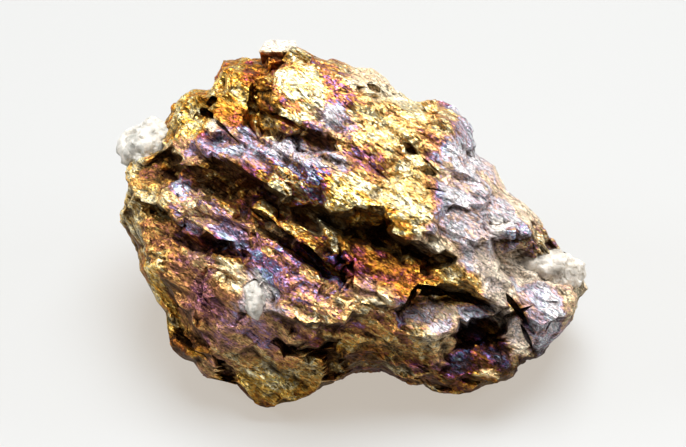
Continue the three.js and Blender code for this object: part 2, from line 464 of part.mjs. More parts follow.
// A block with uneven corners on a cross-section.
function blockGeometry([a, b, c, along, across, out, turnDegrees, leanDegrees = 0], section, seed) {
  const turn = radians(turnDegrees);
  const lean = radians(leanDegrees);
  const points = [];
  for (let corner = 0; corner < 2 * section.length; corner++) {
    const [alongShare, acrossShare] = section[corner % section.length];
    const x = alongShare * along * (0.72 + 0.5 * hash(corner, 1, seed, 91));
    const top = acrossShare * across * (0.72 + 0.5 * hash(corner, 2, seed, 91));
    const front = (corner < section.length ? -1 : 1) * out * (0.8 + 0.3 * hash(corner, 3, seed, 91));
    const y = top * Math.cos(lean) - front * Math.sin(lean);
    const z = top * Math.sin(lean) + front * Math.cos(lean);
    points.push(
      new THREE.Vector3(
        a + x * Math.cos(turn) - y * Math.sin(turn),
        b + x * Math.sin(turn) + y * Math.cos(turn),
        c + z,
      ),
    );
  }
  const geometry = new ConvexGeometry(points);
  geometry.deleteAttribute("normal");
  return geometry;
}

// ---- Solids ---------------------------------------------------------------------------------------------------------------

const wasm = await Module();
wasm.setup();

function solidOf(geometry) {
  const plain = geometry.clone();
  for (const name of Object.keys(plain.attributes)) if (name !== "position") plain.deleteAttribute(name);
  const merged = mergeVertices(plain, 1e-4);
  return new wasm.Manifold(
    new wasm.Mesh({
      numProp: 3,
      vertProperties: new Float32Array(merged.getAttribute("position").array),
      triVerts: new Uint32Array(merged.getIndex().array),
    }),
  );
}

function geometryFromSolid(solid) {
  const { numProp, vertProperties, triVerts } = solid.getMesh();
  const positions = new Float32Array((vertProperties.length / numProp) * 3);
  for (let i = 0; i < positions.length / 3; i++)
    positions.set(vertProperties.subarray(i * numProp, i * numProp + 3), i * 3);
  const geometry = new THREE.BufferGeometry();
  geometry.setAttribute("position", new THREE.BufferAttribute(positions, 3));
  geometry.setIndex(new THREE.BufferAttribute(new Uint32Array(triVerts), 1));
  return geometry;
}

// From the face frame to the resting frame: lean the face back, and put the seat at height 0.
const toRest = new THREE.Matrix4()
  .makeTranslation(0, 0, SEAT_HEIGHT)
  .multiply(
    new THREE.Matrix4().makeBasis(
      new THREE.Vector3(1, 0, 0),
      new THREE.Vector3(0, Math.sin(radians(FACE_LEAN)), Math.cos(radians(FACE_LEAN))),
      new THREE.Vector3(0, -Math.cos(radians(FACE_LEAN)), Math.sin(radians(FACE_LEAN))),
    ),
  );

function restingSolid(geometry) {
  return solidOf(geometry.clone().applyMatrix4(toRest));
}

// Everything below the seat plane.
function belowSeat() {
  return solidOf(new THREE.BoxGeometry(120, 120, 40).translate(0, 0, -20));
}

function largestPiece(solid) {
  return solid.decompose().sort((p, q) => q.volume() - p.volume())[0];
}

function oreSolid() {
  let ore = restingSolid(geometryOf(shapedIcosahedron()));
  Object.values(BLOCKS).forEach((block, i) => (ore = ore.add(restingSolid(blockGeometry(block, SQUARE, i)))));
  Object.values(GASHES).forEach(
    (gash, i) => (ore = ore.subtract(restingSolid(blockGeometry(gash, TAPERED, 100 + i)))),
  );
  ore = ore.subtract(belowSeat());
  for (const grain of Object.values(QUARTZ)) ore = ore.subtract(restingSolid(grainGeometry(grain, SEAT_GAP)));
  return largestPiece(ore);
}

// ---- Materials and assembly --------------------------------------------------------------------------------------------

const oreMaterial = new THREE.MeshStandardMaterial({ color: 0x9c7a3c, roughness: 0.38, metalness: 0.9 });
const quartzMaterial = new THREE.MeshStandardMaterial({ color: 0xd9d8d2, roughness: 0.35, metalness: 0.0 });

function named(name, solid, material) {
  const mesh = new THREE.Mesh(geometryFromSolid(solid), material);
  mesh.name = name;
  return mesh;
}

const specimen = new THREE.Group();
specimen.add(named("chalcopyrite_ore", oreSolid(), oreMaterial));
for (const [name, grain] of Object.entries(QUARTZ))
  specimen.add(named(name, restingSolid(grainGeometry(grain, 0)), quartzMaterial));

// The origin is under the middle of the specimen's box, on the seat.
const box = new THREE.Box3().setFromObject(specimen);
const middle = box.getCenter(new THREE.Vector3());
for (const mesh of specimen.children) mesh.geometry.translate(-middle.x, -middle.y, -box.min.z);

export default specimen;
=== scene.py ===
"""Looks of a chalcopyrite hand specimen: ore with a peacock tarnish, and three grains of milky quartz.

The ore and the grains are copies of their solids with the fine fracture surface worked into them. The ore's
best face leans back, and places on it are given in its own frame: a to the right, b up along the face, c out
of it, in millimetres. Everything else is in metres.
"""
import math
from dataclasses import dataclass

import bmesh
import bpy
from mathutils import Matrix, Vector, noise
from mathutils.bvhtree import BVHTree


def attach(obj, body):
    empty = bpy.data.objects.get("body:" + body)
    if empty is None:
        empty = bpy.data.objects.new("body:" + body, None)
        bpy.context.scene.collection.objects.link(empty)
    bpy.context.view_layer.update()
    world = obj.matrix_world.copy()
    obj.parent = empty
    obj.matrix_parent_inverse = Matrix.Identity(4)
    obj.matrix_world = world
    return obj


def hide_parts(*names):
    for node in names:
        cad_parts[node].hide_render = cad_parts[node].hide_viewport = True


MM = 0.001

# The best face's frame.
FACE_LEAN = math.radians(50)
FACE_ORIGIN = Vector((0.11, -0.66, 15.2)) * MM
FACE_RIGHT = Vector((1, 0, 0))
FACE_UP = Vector((0, math.sin(FACE_LEAN), math.cos(FACE_LEAN)))
FACE_OUT = Vector((0, -math.cos(FACE_LEAN), math.sin(FACE_LEAN)))
TO_FACE = Matrix((FACE_RIGHT, FACE_UP, FACE_OUT))
STRIKE = math.radians(-34)  # the direction in which the ledges run across the face
STRIKE_TURN = Matrix((
    FACE_RIGHT * math.cos(STRIKE) + FACE_UP * math.sin(STRIKE),
    FACE_UP * math.cos(STRIKE) - FACE_RIGHT * math.sin(STRIKE),
    FACE_OUT,
)).transposed().to_euler()

# Camera: a long lens square to the best face.
FRAME_PIXELS = 686
PIXEL = 0.1277 * MM  # what a pixel spans at the outline's plane
FRAME_WIDTH = FRAME_PIXELS * PIXEL
LOOK_AT = (-1.40, 0.06, 0.0)  # a, b, c
LENS_MM = 200.0
SENSOR_MM = 36.0
CLIP_START = 0.01

# Light dome: brightness by how near a direction lies to the dome's axis.
DOME_AXIS = (0.0, 0.507, 0.862)
DOME_RAMP = [(0.0, 0.04), (0.4, 0.15), (0.75, 0.8), (0.95, 1.0)]
DOME_STRENGTH = 0.4

SEAT = 0.05 * MM  # height under which the ore rests on its seat and stays as it is

# Fineness of the meshes.
WELD = 0.002 * MM
ORE_EDGE = 0.55 * MM
ORE_EDGE_HIDDEN = 1.1 * MM  # on the hidden sides
ORE_ROUNDS = 4
QUARTZ_VOXEL = 0.25 * MM

FLOOR_HALF = 1.5
LAMP_AIM = Vector((0, 0, 0.018))


# ---- Small helpers -------------------------------------------------------------------------------


def hex_linear(code):
    """An sRGB hex colour as linear RGBA."""
    channels = [int(code[i : i + 2], 16) / 255 for i in (1, 3, 5)]
    return [c / 12.92 if c <= 0.04045 else ((c + 0.055) / 1.055) ** 2.4 for c in channels] + [1.0]


def to_face(point):
    """A point of the object as (a, b, c) millimetres in the best face's frame."""
    return TO_FACE @ (point - FACE_ORIGIN) / MM


def from_face(a, b, c):
    return FACE_ORIGIN + (FACE_RIGHT * a + FACE_UP * b + FACE_OUT * c) * MM


def along_strike(point):
    """A face-frame point turned so that its first coordinate runs along the ledges."""
    a, b, c = point
    return Vector((
        a * math.cos(STRIKE) + b * math.sin(STRIKE),
        b * math.cos(STRIKE) - a * math.sin(STRIKE),
        c,
    ))


NOISE_SEED = 1795485078  # without one, vector noise starts from the clock and each run differs
CHANCE_SPREAD = 173.0  # sets feature points that lie close together far apart


def chance(point, seed):
    """Three repeatable numbers from -1 to 1 for a feature point."""
    shift = Vector((seed, 2.3 * seed, 5.1 * seed))
    return noise.cell_vector(point * CHANCE_SPREAD + shift) * 2 - Vector((1, 1, 1))


# ---- Fracture relief -----------------------------------------------------------------------------


@dataclass
class Chips:
    """A layer of flat chips: each has its own height and lean, and meets its neighbours at a small step."""

    cell: float  # mm
    height: float  # mm
    stretch: float  # along the strike
    lean: float
    seed: float


CHIP_LAYERS = [
    Chips(cell=3.4, height=0.3, stretch=1.7, lean=2.6, seed=3.0),
    Chips(cell=1.4, height=0.18, stretch=2.0, lean=2.6, seed=7.0),
]
CHIPS_BLENDED = 3
CHIP_SHARPNESS = 40  # of the step between neighbouring chips


@dataclass
class Ledges:
    """A stair of thin ledges along the strike: treads that look up, over short risers that look down."""

    pitch: float  # mm
    height: float  # mm
    seed: float


LEDGE_LAYERS = [
    Ledges(pitch=2.8, height=0.45, seed=2.0),
    Ledges(pitch=1.2, height=0.18, seed=6.0),
]
RISER = 0.2  # share of the pitch
LEDGE_STRETCH = 2.2  # of the ledges' bends, along the strike
LEDGE_BENDS = [(2.6, 1.2), (1.0, 0.35)]  # length and reach, in pitches
LEDGE_STRENGTH = 0.6
LEDGE_STRENGTH_SWING = 0.9
LEDGE_PATCH = 3.4  # pitches across which the ledges fade in and out


def chip_spot(place, layer):
    """A place in a layer's own measure, in which its chips are one across."""
    return Vector((place.x / layer.stretch, place.y, place.z)) / layer.cell + Vector([layer.seed] * 3)


def chip_relief(place, layer):
    """Height in mm of a layer at a place, and the chip's own chance from -1 to 1."""
    spot = chip_spot(place, layer)
    distances, centres = noise.voronoi(spot)
    total = 0.0
    weights = 0.0
    for distance, centre in zip(distances[:CHIPS_BLENDED], centres):
        weight = math.exp(-CHIP_SHARPNESS * (distance - distances[0]))
        luck = chance(centre, layer.seed)
        offset = spot - centre
        lift = 0.5 * chance(centre, layer.seed + 1).x
        total += weight * (lift + layer.lean * 0.5 * luck.dot(offset))
        weights += weight
    return layer.height * total / weights, chance(centres[0], layer.seed + 2).x


def ledge_relief(place, layer):
    """Height in mm of a stair at a place, and how much of a riser it is."""
    shift = Vector([layer.seed] * 3)
    slow = Vector((place.x / LEDGE_STRETCH, place.y, place.z))
    wander = sum(reach * noise.noise(slow / (length * layer.pitch) + shift) for length, reach in LEDGE_BENDS)
    step = (place.y / layer.pitch + wander) % 1.0
    tread = 1 - step / (1 - RISER) if step < 1 - RISER else (step - 1 + RISER) / RISER
    patch = noise.noise(place / (LEDGE_PATCH * layer.pitch) - shift)
    strength = max(0.0, LEDGE_STRENGTH + LEDGE_STRENGTH_SWING * patch)
    return layer.height * strength * (tread - 0.5), strength * (step > 1 - RISER)


# ---- Tarnish -------------------------------------------------------------------------------------


@dataclass
class Zone:
    """A place on the best face and the tarnish that it carries, in some with painted shade or a painted
    highlight.
    """

    a: float
    b: float
    along: float
    across: float
    turn: float  # degrees
    film: float  # thickness of the tarnish film, 0 bright brass to 1 pale silver
    spread: float  # how much the film differs from chip to chip
    soot_and_shade: float = 0.0  # dull brown to black: a real dark coat, and painted shade in the zones that are recesses, cracks and shaded walls
    pale_and_highlight: float = 0.0  # pale tone: real pale tarnish, and a painted highlight in the zones that are lit tops, rims and flakes
    relief: float = 1.0  # share of the fracture relief that shows


# Zones whose dark tone is painted shade: the top block's front, the top wall, the trough hole, the undercut,
# the hollow and its foot, the crack, the lower hollow, the shoulder pit and gap, the crescent, the cave and
# its floor, and the right gash. Zones whose pale tone is a painted highlight: the top block, the top rim and
# the sill flake.
ZONES = {
    "horn": Zone(-15.5, 16.0, 5.0, 4.5, -50, 0.24, 0.12, soot_and_shade=0.15),
    "left flank": Zone(-21.5, 14.5, 3.2, 3.5, 0, 0.14, 0.14, soot_and_shade=0.1),
    "flank edge": Zone(-23.6, 13.6, 1.0, 3.0, 10, 0.2, 0.1, soot_and_shade=0.55),
    "pebble": Zone(-17.4, 12.2, 1.1, 0.9, 0, 0.08, 0.05, pale_and_highlight=0.95, relief=0.1),
    # Painted highlight on the top block's top, and painted shade on its front.
    "top block": Zone(-9.8, 22.8, 2.2, 0.9, 0, 0.05, 0.05, pale_and_highlight=0.95, relief=0.1),
    "top block front": Zone(-10.2, 21.0, 1.8, 0.8, 0, 0.33, 0.03, soot_and_shade=0.7, relief=0.1),
    "top wall": Zone(-11.5, 15.0, 1.3, 4.0, 5, 0.2, 0.08, soot_and_shade=0.6),
    "top plate": Zone(-4.5, 16.8, 5.0, 4.5, -25, 0.19, 0.24, pale_and_highlight=0.08, relief=0.6),
    "top rim": Zone(3.0, 17.8, 4.0, 1.8, -28, 0.08, 0.14, pale_and_highlight=0.6),
    "trough blue": Zone(-7.0, 9.0, 3.4, 1.3, -14, 0.8, 0.46, soot_and_shade=0.15, pale_and_highlight=0.45, relief=1.2),
    "trough lilac": Zone(-3.4, 13.6, 2.8, 1.7, -20, 0.8, 0.4, pale_and_highlight=0.55),
    # Painted shade in the trough's hole.
    "trough hole": Zone(-4.6, 10.6, 1.6, 1.3, 0, 0.42, 0.1, soot_and_shade=0.8),
    "trough gold": Zone(-14.4, 10.4, 3.2, 1.8, -10, 0.44, 0.3, soot_and_shade=0.2, pale_and_highlight=0.35),
    "trough left": Zone(-20.0, 9.4, 3.6, 1.8, -8, 0.26, 0.22, soot_and_shade=0.2, pale_and_highlight=0.3),
    "trough foot": Zone(-7.0, 5.2, 2.8, 2.2, -30, 0.5, 0.44, soot_and_shade=0.35, relief=1.2),
    "gold crest": Zone(6.5, 12.6, 5.0, 3.2, -25, 0.13, 0.18, pale_and_highlight=0.15, relief=0.7),
    "gold band": Zone(3.4, 7.4, 2.8, 1.6, -20, 0.42, 0.26, soot_and_shade=0.25, pale_and_highlight=0.1),
    "gold face": Zone(6.8, 4.6, 4.6, 4.2, -22, 0.1, 0.12, pale_and_highlight=0.15, relief=0.8),
    "gold lip": Zone(2.0, 1.6, 5.4, 1.6, -22, 0.22, 0.12),
    # Painted shadow under the lip.
    "undercut": Zone(3.0, -1.8, 6.0, 1.6, -20, 0.25, 0.12, soot_and_shade=0.75),
    # Painted shade in the hollow.
    "hollow": Zone(-16.5, 5.8, 4.8, 1.6, -18, 0.27, 0.14, soot_and_shade=0.85),
    "hollow foot": Zone(-15.8, 3.9, 3.4, 1.2, -34, 0.24, 0.14, soot_and_shade=0.7),
    # Painted shade in the crack.
    "crack": Zone(-8.0, 1.2, 6.0, 1.2, -36, 0.3, 0.25, soot_and_shade=0.75),
    "ridge": Zone(-7.0, -0.8, 7.0, 0.9, -36, 0.3, 0.22, soot_and_shade=0.3),
    "flakes": Zone(-19.6, 1.6, 4.0, 2.0, -40, 0.54, 0.34, pale_and_highlight=0.3),
    "lilac flakes": Zone(-16.4, -1.0, 3.6, 1.3, -24, 0.8, 0.16, pale_and_highlight=0.3),
    "magenta": Zone(-9.6, -4.0, 5.6, 2.3, -34, 0.48, 0.2, soot_and_shade=0.05, pale_and_highlight=0.15),
    "magenta low": Zone(-5.0, -8.0, 3.6, 1.6, -30, 0.48, 0.22, soot_and_shade=0.2, pale_and_highlight=0.2),
    "violet": Zone(-5.0, -5.2, 2.6, 1.1, -36, 0.6, 0.26, soot_and_shade=0.4),
    "crust": Zone(-4.0, -10.2, 4.6, 1.8, -14, 0.3, 0.26, soot_and_shade=0.3, pale_and_highlight=0.2),
    "crust right": Zone(2.6, -8.8, 2.6, 1.8, -14, 0.2, 0.2, soot_and_shade=0.35, pale_and_highlight=0.3),
    "lower hollow": Zone(-18.4, -2.6, 4.4, 1.3, -14, 0.38, 0.16, soot_and_shade=0.8),
    "gold flakes": Zone(-17.4, -5.6, 4.0, 1.3, -28, 0.2, 0.22, pale_and_highlight=0.3),
    "terrace": Zone(4.6, -5.8, 5.2, 2.6, -16, 0.36, 0.1, soot_and_shade=0.35),
    "shoulder": Zone(-25.4, -0.6, 3.4, 5.0, 20, 0.14, 0.14, soot_and_shade=0.35, pale_and_highlight=0.1),
    "shoulder pit": Zone(-25.4, 1.6, 2.4, 0.9, -24, 0.2, 0.1, soot_and_shade=0.7),
    "shoulder gap": Zone(-23.6, 7.2, 1.4, 2.0, 0, 0.25, 0.1, soot_and_shade=0.8),
    "cheek": Zone(-25.2, -8.6, 5.0, 1.8, -52, 0.17, 0.1, soot_and_shade=0.25, relief=0.4),
    "rust": Zone(-19.8, -8.8, 4.6, 3.2, -44, 0.4, 0.08, soot_and_shade=0.35, pale_and_highlight=0.15, relief=0.35),
    "belly": Zone(-13.4, -14.4, 5.2, 3.0, -16, 0.36, 0.16, soot_and_shade=0.2, pale_and_highlight=0.25, relief=0.4),
    "belly patch": Zone(-20.9, -15.1, 2.6, 0.9, -22, 0.28, 0.06, soot_and_shade=0.9, relief=0.5),
    "belly olive": Zone(-10.4, -17.6, 4.6, 1.4, -12, 0.26, 0.14, soot_and_shade=0.2, pale_and_highlight=0.1, relief=0.4),
    "bottom": Zone(-10.2, -20.8, 4.6, 1.8, 0, 0.22, 0.1, soot_and_shade=0.35, relief=0.4),
    "quartz fringe": Zone(-12.2, -9.2, 1.9, 2.4, 0, 0.8, 0.2, pale_and_highlight=0.75, relief=0.4),
    "brown": Zone(4.6, -13.6, 6.0, 3.0, -8, 0.34, 0.16, soot_and_shade=0.25, pale_and_highlight=0.1, relief=0.6),
    "brown olive": Zone(1.0, -16.4, 5.0, 1.4, -6, 0.24, 0.12, soot_and_shade=0.5, relief=0.5),
    "brown foot": Zone(6.0, -19.0, 6.0, 1.4, -6, 0.28, 0.16, soot_and_shade=0.25, pale_and_highlight=0.1),
    # Painted shadow under the crescent's rim.
    "crescent": Zone(11.0, -8.7, 4.6, 1.1, -14, 0.26, 0.12, soot_and_shade=0.7, relief=0.6),
    "crescent rim": Zone(14.6, -7.4, 3.6, 1.2, -30, 0.14, 0.12, pale_and_highlight=0.1),
    "slab": Zone(9.8, -12.0, 4.6, 2.2, -6, 0.74, 0.4, pale_and_highlight=0.55, relief=0.45),
    "slab tail": Zone(15.0, -11.2, 2.4, 0.8, 4, 0.8, 0.3, pale_and_highlight=0.4, relief=0.6),
    "slab rim": Zone(10.6, -14.0, 3.0, 0.5, 20, 0.1, 0.1, pale_and_highlight=0.6, relief=0.5),
    "slab wall": Zone(11.6, -15.0, 1.6, 2.2, -30, 0.16, 0.14, soot_and_shade=0.2, pale_and_highlight=0.3),
    # Painted shade in the cave and on its floor.
    "cave": Zone(15.9, -13.6, 2.8, 1.5, 0, 0.4, 0.14, soot_and_shade=0.8),
    "cave floor": Zone(15.8, -16.8, 3.8, 1.5, 0, 0.5, 0.2, soot_and_shade=0.85),
    "sill": Zone(14.6, -20.0, 5.0, 1.0, -4, 0.28, 0.14, soot_and_shade=0.5, relief=0.6),
    # Painted highlight on the sill flake.
    "sill flake": Zone(17.2, -18.9, 1.0, 0.4, -24, 0.2, 0.1, soot_and_shade=0.1, pale_and_highlight=0.4, relief=0.3),
    "pastel": Zone(15.5, 3.6, 5.6, 6.0, 24, 0.8, 0.34, pale_and_highlight=0.57, relief=0.5),
    "pastel rim": Zone(19.4, 5.0, 5.6, 1.6, -44, 0.1, 0.14, pale_and_highlight=0.75, relief=0.6),
    "pastel edge": Zone(14.6, 10.8, 1.2, 3.4, 8, 0.84, 0.2, soot_and_shade=0.2, pale_and_highlight=0.5),
    "pink plate": Zone(18.2, -0.6, 2.4, 1.0, 3, 0.96, 0.05, pale_and_highlight=0.85, relief=0.1),
    "spall": Zone(10.0, -2.9, 2.6, 1.2, -20, 0.1, 0.08, pale_and_highlight=0.6),
    "pillar": Zone(18.2, -9.0, 1.6, 5.4, 20, 0.18, 0.32, pale_and_highlight=0.85, relief=0.5),
    "dusk": Zone(22.4, -2.6, 4.0, 1.6, -20, 0.45, 0.4, soot_and_shade=0.4, pale_and_highlight=0.2),
    "saddle vein": Zone(23.2, -5.6, 4.2, 1.6, -11, 0.1, 0.1, pale_and_highlight=0.9, relief=0.3),
    "blue face": Zone(24.2, -10.4, 4.4, 2.8, -8, 0.84, 0.24, pale_and_highlight=0.5, relief=0.4),
    "tip": Zone(28.4, -10.4, 2.4, 3.0, 40, 0.12, 0.16, soot_and_shade=0.1, pale_and_highlight=0.5),
    "right gash": Zone(20.4, -10.6, 2.6, 0.7, -52, 0.3, 0.1, soot_and_shade=0.6, relief=0.1),
}


HOLLOW_SHADE = 2.0  # painted shade per mm that a spot lies below its surroundings
OVERHANG = 0.5  # upward part of the normal under which a spot counts as overhung, and gets painted shade
OVERHANG_SHADE = 0.7  # painted shade per unit under that
FACE_EDGE = -4.0  # mm; below it the surface is one of the hidden sides


BORDER_BENDS = [(2.4, 1.4), (0.7, 0.9)]  # mm: length of a bend in a zone's border, and how far it strays
FULL_WANDER = 1.8  # mm; the borders of zones less wide than this stray less
ZONES_BLENDED = 3
BORDER_SHARPNESS = 6
BACK_PATCH = 7.0  # mm, patches of colour on the hidden sides
BACK_FILM, BACK_FILM_SWING = 0.26, 0.35
BACK_SPREAD = 0.25
BACK_SOOT, BACK_SOOT_SWING = 0.4, 0.5
BACK_PALE_SWING = 0.5


def tarnish_at(place, spot):
    """Film, spread, dark tone (a coat and painted shade), pale tone (pale tarnish and painted highlight) and
    relief of the best face, from the zones nearest to a place.

    The spot is the same place turned along the strike, by which the borders of the zones wander.
    """
    wander = sum((noise.noise_vector(spot / length) * reach for length, reach in BORDER_BENDS), Vector())
    near = []
    for zone in ZONES.values():
        turn = math.radians(zone.turn)
        share = min(1.0, zone.across / FULL_WANDER)
        da = place.x + share * wander.x - zone.a
        db = place.y + share * wander.y - zone.b
        x = (da * math.cos(turn) + db * math.sin(turn)) / zone.along
        y = (db * math.cos(turn) - da * math.sin(turn)) / zone.across
        near.append((math.hypot(x, y), zone))
    near.sort(key=lambda pair: pair[0])
    total = [0.0] * 5
    weights = 0.0
    for distance, zone in near[:ZONES_BLENDED]:
        weight = math.exp(-BORDER_SHARPNESS * (distance - near[0][0]))
        for i, value in enumerate((zone.film, zone.spread, zone.soot_and_shade, zone.pale_and_highlight, zone.relief)):
            total[i] += weight * value
        weights += weight
    return [value / weights for value in total]


def back_tarnish(place):
    """The same on the hidden sides: brown and gold, with patches of colour."""
    patch = noise.noise_vector(place / BACK_PATCH)
    film = BACK_FILM + BACK_FILM_SWING * patch.x
    soot_and_shade = BACK_SOOT + BACK_SOOT_SWING * patch.y
    pale_and_highlight = max(0.0, BACK_PALE_SWING * patch.z)
    relief = 1.0
    return film, BACK_SPREAD, soot_and_shade, pale_and_highlight, relief


# ---- Node materials ------------------------------------------------------------------------------


def add_node(tree, kind, settings=None, **links):
    """A new node with its settings; each link sets or joins an input.

    An input goes by its name, with spaces as underscores, or by i and its number. What it gets is a value or
    an output socket.
    """
    node = tree.nodes.new(kind)
    for name, value in (settings or {}).items():
        setattr(node, name, value)
    for name, value in links.items():
        key = int(name[1:]) if name[0] == "i" and name[1:].isdigit() else name.replace("_", " ")
        socket = node.inputs[key]
        if isinstance(value, bpy.types.NodeSocket):
            tree.links.new(value, socket)
        else:
            socket.default_value = value
    return node


def blank_material(name):
    material = bpy.data.materials.new(name)
    material.use_nodes = True
    tree = material.node_tree
    tree.nodes.clear()
    return material, tree


def maths(tree, operation, *values):
    """The result of a math node."""
    links = {f"i{index}": value for index, value in enumerate(values)}
    return add_node(tree, "ShaderNodeMath", {"operation": operation}, **links).outputs[0]


def vector_maths(tree, operation, *vectors, **links):
    """The vector that a vector math node gives."""
    links.update({f"i{index}": vector for index, vector in enumerate(vectors)})
    return add_node(tree, "ShaderNodeVectorMath", {"operation": operation}, **links).outputs[0]


def ranged(tree, value, low, high, start=0.0, end=1.0):
    """A number that runs from low to high while the value runs from start to end."""
    return add_node(
        tree, "ShaderNodeMapRange", Value=value, From_Min=start, From_Max=end, To_Min=low, To_Max=high,
    ).outputs[0]


def mixed(tree, share, first, second):
    """The first colour with a share of the second."""
    return add_node(tree, "ShaderNodeMix", {"data_type": "RGBA"}, i0=share, i6=first, i7=second).outputs[2]


def grained(tree, place, size, **links):
    """The outputs of a noise with features of a size in mm."""
    return add_node(tree, "ShaderNodeTexNoise", Vector=place, Scale=1 / (size * MM), **links).outputs


def cells(tree, place, size):
    """A colour of its own for each cell of a size in mm."""
    return add_node(tree, "ShaderNodeTexVoronoi", Vector=place, Scale=1 / (size * MM)).outputs["Color"]


def fill_ramp(ramp, stops):
    elements = ramp.color_ramp.elements
    while len(elements) < len(stops):
        elements.new(0.5)
    for element, (position, colour) in zip(elements, stops):
        element.position = position
        element.color = colour


# Film thickness to colour.
TARNISH_RAMP = [
    (0.00, "#FDF0C6"),
    (0.12, "#F6D06E"),
    (0.24, "#E6A032"),
    (0.35, "#C0702E"),
    (0.45, "#A45046"),
    (0.54, "#B45A90"),
    (0.64, "#8464B4"),
    (0.74, "#6C90D0"),
    (0.85, "#A4D0E4"),
    (1.00, "#ECDCEE"),
]
# Pale tone: real pale tarnish, and a painted highlight on lit tops, rims and flakes.
PALE_AND_HIGHLIGHT_TONE = "#EDDFCE"
# Colour of the dark tone: a real dark coat, and painted shade in recesses and under overhangs.
DARK_COAT_AND_SHADE = "#4A3524"

# Sizes of the ore's grain, in mm.
GRAIN_BEND = 3.0
GRAIN_BEND_REACH = 1.0
STREAK = 0.5
SCALE = 0.9
FLAKE = 0.32
SPECK = 0.15
SCRATCH = 0.32
BUMP = 0.06
GRAIN_STRETCH = 2.4  # along the strike
SCRATCH_STRETCH = 2.0  # on top of that

STREAK_LOW, STREAK_HIGH = 0.3, 0.7  # where most of the streaks' values lie


def ore_material():
    """Massive chalcopyrite, broken and tarnished: a metal under a film that differs from flake to flake."""
    material, tree = blank_material("tarnished chalcopyrite, fractured")
    place = add_node(tree, "ShaderNodeTexCoord").outputs["Object"]
    film, soot_and_shade, pale_and_highlight, play = (
        add_node(tree, "ShaderNodeAttribute", {"attribute_name": name}).outputs["Fac"]
        for name in ("film", "soot_and_shade", "pale_and_highlight", "play")
    )

    # The grain runs along the strike and bends a little from place to place.
    bend = vector_maths(tree, "SCALE", grained(tree, place, GRAIN_BEND)["Color"], Scale=GRAIN_BEND_REACH * MM)
    along = add_node(
        tree, "ShaderNodeMapping", {"vector_type": "TEXTURE"}, Vector=vector_maths(tree, "ADD", place, bend),
        Rotation=STRIKE_TURN, Scale=(GRAIN_STRETCH, 1, 1),
    ).outputs["Vector"]
    drawn_out = vector_maths(tree, "MULTIPLY", along, (1 / SCRATCH_STRETCH, 1, 1))
    streaks = grained(tree, along, STREAK, Detail=7.0, Roughness=0.8)["Fac"]
    scratches = grained(tree, drawn_out, SCRATCH, Detail=4.0, Roughness=0.65)["Fac"]
    scales = cells(tree, along, SCALE)
    flakes = cells(tree, along, FLAKE)
    specks = cells(tree, along, SPECK)
    luck = add_node(tree, "ShaderNodeSeparateColor", Color=flakes).outputs
    speck_luck = add_node(tree, "ShaderNodeSeparateColor", Color=specks).outputs

    # Each is a facet that leans its own way, and so catches a light of its own. Pale ones lean less.
    facet = add_node(tree, "ShaderNodeNewGeometry").outputs["Normal"]
    crisp = ranged(tree, pale_and_highlight, 1.0, 0.15)
    for facets, lean in ((scales, 0.25), (flakes, 0.45), (specks, 0.6)):
        centred = vector_maths(tree, "SUBTRACT", facets, (0.5, 0.5, 0.5))
        leaning = vector_maths(tree, "SCALE", centred, Scale=maths(tree, "MULTIPLY", crisp, lean))
        facet = vector_maths(tree, "ADD", facet, leaning)
    facet = vector_maths(tree, "NORMALIZE", facet)

    # The film wanders along the streaks and from flake to flake, most where the colours play.
    shift = ranged(tree, streaks, -0.6, 0.6, STREAK_LOW, STREAK_HIGH)
    for draw, reach in ((luck["Red"], 0.5), (speck_luck["Red"], 0.6)):
        shift = maths(tree, "ADD", shift, ranged(tree, draw, -reach, reach))
    film_here = maths(tree, "MULTIPLY_ADD", shift, play, film)
    ramp = add_node(tree, "ShaderNodeValToRGB", Fac=film_here)
    fill_ramp(ramp, [(position, hex_linear(code)) for position, code in TARNISH_RAMP])
    # The pale tone mixed in, partly a painted highlight.
    paled_and_highlit = mixed(tree, pale_and_highlight, ramp.outputs["Color"], hex_linear(PALE_AND_HIGHLIGHT_TONE))

    # A dark tone, patchy along the streaks: a real dark coat, and painted shade in recesses, on risers and
    # under overhangs.
    patchy = ranged(tree, streaks, 0.3, -0.3, STREAK_LOW, STREAK_HIGH)
    coat_and_shade = ranged(tree, maths(tree, "ADD", soot_and_shade, patchy), 0.0, 0.92, start=0.2, end=0.9)
    coated_and_shaded = mixed(tree, coat_and_shade, paled_and_highlit, hex_linear(DARK_COAT_AND_SHADE))

    # Fine dark scratches along the grain, and specks lighter and darker than the rest.
    scratch = ranged(tree, scratches, 0.3, 1.0, start=0.38, end=0.46)
    speck = ranged(tree, speck_luck["Blue"], 0.45, 1.35)
    colour = vector_maths(tree, "SCALE", coated_and_shaded, Scale=maths(tree, "MULTIPLY", scratch, speck))

    rough = ranged(tree, luck["Green"], 0.26, 0.55)
    for dulling, amount in ((coat_and_shade, 0.25), (pale_and_highlight, 0.35)):
        rough = maths(tree, "MULTIPLY_ADD", dulling, amount, rough)
    bump = add_node(
        tree, "ShaderNodeBump", Height=streaks, Normal=facet, Distance=BUMP * MM, Strength=0.8,
    )
    shader = add_node(
        tree, "ShaderNodeBsdfPrincipled", Base_Color=colour, Metallic=ranged(tree, pale_and_highlight, 0.94, 0.12),
        Roughness=rough, Normal=bump.outputs["Normal"],
    )
    add_node(tree, "ShaderNodeOutputMaterial", Surface=shader.outputs["BSDF"])
    return material


QUARTZ_CLOUD = 1.6  # mm
QUARTZ_GRIT = 0.35  # mm
QUARTZ_IOR = 1.544


